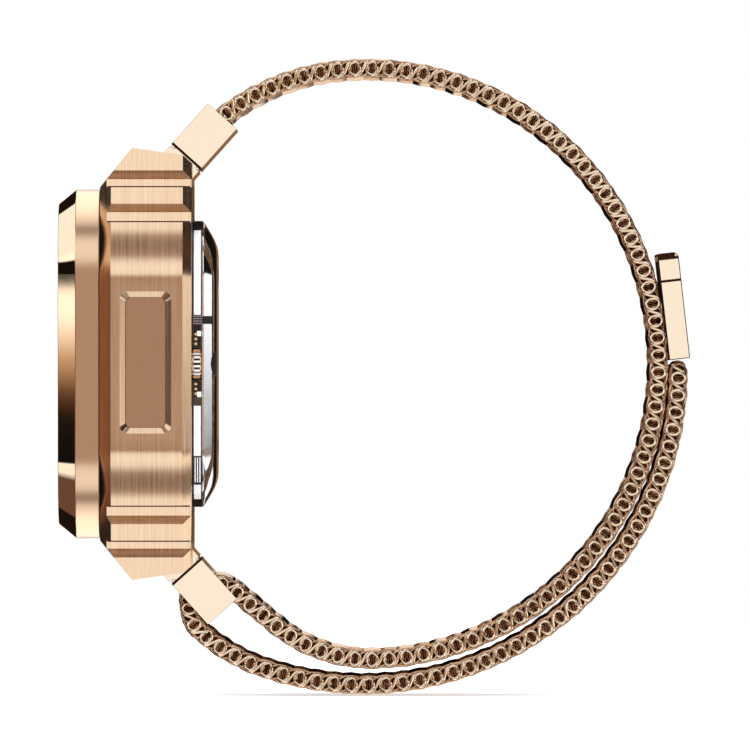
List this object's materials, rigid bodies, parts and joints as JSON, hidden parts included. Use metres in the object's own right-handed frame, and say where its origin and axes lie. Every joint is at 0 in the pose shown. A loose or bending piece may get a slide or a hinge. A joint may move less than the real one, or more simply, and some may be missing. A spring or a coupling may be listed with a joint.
{
  "type": "smartwatch",
  "caption": "Rounded square smartwatch in a rugged metal case with a side key and thumb wheel, on a metal mesh loop band with a folding buckle and a magnetic clasp.",
  "frame": {"origin": "centre of the flat window on the back of the watch, on its outer face", "axes": "+Z towards 12 o'clock, -Y out of the display, +Y towards the wrist, +X towards the side key at 3 o'clock"},
  "size_m": [0.044, 0.0785, 0.0789],
  "materials": {
    "rose_satin": "bead blasted rose gold plating",
    "rose_brushed": "brushed rose gold plating",
    "rose_blasted": "bead blasted rose gold plating",
    "rose_polished": "finely satined rose gold plating",
    "mesh_wire": "polished rose gold wire",
    "rail_metal": "satin copper tone",
    "copper": "satin copper",
    "steel": "satin",
    "polished_steel": "mirror polished",
    "tub_aluminium": "satin",
    "rubber": "matte",
    "display_glass": "polished black",
    "window_glass": "polished black",
    "black_plastic": "matte",
    "circuit_board": "solder mask",
    "white_plastic": "gloss",
    "battery_foil": "foil",
    "tungsten": "satin",
    "gold_pins": "polished",
    "led_lens": "clear lens",
    "ferrite": "matte",
    "magnet": "nickel plated"
  },
  "bodies": {
    "case": {"bezel": "rose_satin", "mid_case": "rose_brushed", "bezel_gasket": "rubber", "case_gasket": "rubber", "side_blank": "rose_blasted", "case_screws": "steel", "display_glass": "display_glass", "display_panel": "black_plastic", "display_frame": "steel", "display_flex": "copper", "core_chassis": "tub_aluminium", "main_board": "circuit_board", "board_chips": "black_plastic", "battery": "battery_foil", "haptic_case": "steel", "haptic_springs": "copper", "speaker_unit": "black_plastic", "microphone": "steel", "antenna_frame": "white_plastic", "core_rail": "rail_metal", "rail_inserts": "white_plastic", "contact_blocks": "black_plastic", "contact_pins": "gold_pins", "crown_sensor": "black_plastic", "crown_spring": "steel", "side_key_seals": "rubber", "side_key_switch": "black_plastic", "side_key_springs": "steel", "back_shell": "polished_steel", "sensor_window": "window_glass", "sensor_board": "circuit_board", "sensor_leds": "led_lens", "charge_coil": "copper", "ferrite_disc": "ferrite", "core_gasket": "rubber", "lug_bar_top": "steel", "lug_bar_bottom": "steel"},
    "crown_slider": {"crown_carrier": "steel"},
    "crown": {"crown_wheel": "rose_polished", "crown_rings": "copper"},
    "key": {"side_key": "rose_blasted"},
    "haptic": {"haptic_mass": "tungsten"},
    "strap_main": {"buckle_frame": "rose_polished", "buckle_bar": "rose_polished", "mesh_main": "mesh_wire", "mesh_fold": "mesh_wire", "mesh_tail_root": "mesh_wire"},
    "strap_4": {"mesh_4": "mesh_wire"},
    "strap_3": {"mesh_3": "mesh_wire"},
    "strap_2": {"mesh_2": "mesh_wire"},
    "strap_1": {"mesh_1": "mesh_wire", "end_link": "rose_polished"},
    "tail_1": {"tail_1": "mesh_wire"},
    "tail_2": {"tail_2": "mesh_wire"},
    "tail_3": {"tail_3": "mesh_wire"},
    "tail_4": {"tail_4": "mesh_wire"},
    "clasp": {"clasp_shell": "rose_polished", "clasp_magnet": "magnet", "clasp_liner": "rubber"}
  },
  "joints": [
    {"name": "lower_lug_pivot", "type": "hinge", "parent": "case", "child": "strap_main", "pos_m": [0, -0.005, -0.0244], "axis": [1, 0, 0], "range_deg": [-3, 3]},
    {"name": "strap_flex_4", "type": "hinge", "parent": "strap_main", "child": "strap_4", "pos_m": [0, 0.04823, 0.02127], "axis": [1, 0, 0], "range_deg": [-7.67, 7.67]},
    {"name": "strap_flex_3", "type": "hinge", "parent": "strap_4", "child": "strap_3", "pos_m": [0, 0.03824, 0.03096], "axis": [1, 0, 0], "range_deg": [-5.52, 5.52]},
    {"name": "strap_flex_2", "type": "hinge", "parent": "strap_3", "child": "strap_2", "pos_m": [0, 0.02533, 0.03614], "axis": [1, 0, 0], "range_deg": [-3.38, 3.38]},
    {"name": "strap_flex_1", "type": "hinge", "parent": "strap_2", "child": "strap_1", "pos_m": [0, 0.01143, 0.03597], "axis": [1, 0, 0], "range_deg": [-4.53, 4.53]},
    {"name": "tail_peel", "type": "hinge", "parent": "strap_main", "child": "tail_1", "pos_m": [0, 0.01627, -0.04098], "axis": [-1, 0, 0], "range_deg": [0, 15]},
    {"name": "tail_peel_2", "type": "hinge", "parent": "tail_1", "child": "tail_2", "pos_m": [0, 0.03241, -0.03847], "axis": [-1, 0, 0], "range_deg": [-0.2, 15.2]},
    {"name": "tail_peel_3", "type": "hinge", "parent": "tail_2", "child": "tail_3", "pos_m": [0, 0.04622, -0.02976], "axis": [-1, 0, 0], "range_deg": [-0.2, 15.2]},
    {"name": "tail_peel_4", "type": "hinge", "parent": "tail_3", "child": "tail_4", "pos_m": [0, 0.05541, -0.01625], "axis": [-1, 0, 0], "range_deg": [-0.2, 15.2]},
    {"name": "clasp_lift", "type": "hinge", "parent": "tail_4", "child": "clasp", "pos_m": [0, 0.05855, 0.00026], "axis": [-1, 0, 0], "range_deg": [0, 40]},
    {"name": "crown_push", "type": "slide", "parent": "case", "child": "crown_slider", "axis": [-1, 0, 0], "range_m": [0, 0.0003], "stiffness_N_per_m": 800, "springref_m": -0.001},
    {"name": "crown_spin", "type": "hinge", "parent": "crown_slider", "child": "crown", "pos_m": [0.0143, -0.0024, 0], "axis": [0, 1, 0], "continuous": true},
    {"name": "side_key_press", "type": "slide", "parent": "case", "child": "key", "axis": [-1, 0, 0], "range_m": [0, 0.0005], "stiffness_N_per_m": 1500, "springref_m": -0.001},
    {"name": "haptic_slide", "type": "slide", "parent": "case", "child": "haptic", "axis": [1, 0, 0], "range_m": [-0.0005, 0.0005], "stiffness_N_per_m": 600}
  ],
  "couplings": [
    {"joint": "strap_flex_4", "follows": "lower_lug_pivot", "ratio": -2.489},
    {"joint": "strap_flex_3", "follows": "lower_lug_pivot", "ratio": 1.772},
    {"joint": "strap_flex_2", "follows": "lower_lug_pivot", "ratio": 1.059},
    {"joint": "strap_flex_1", "follows": "lower_lug_pivot", "ratio": 1.4425},
    {"joint": "tail_peel_2", "follows": "tail_peel", "ratio": 1},
    {"joint": "tail_peel_3", "follows": "tail_peel", "ratio": 1},
    {"joint": "tail_peel_4", "follows": "tail_peel", "ratio": 1}
  ]
}
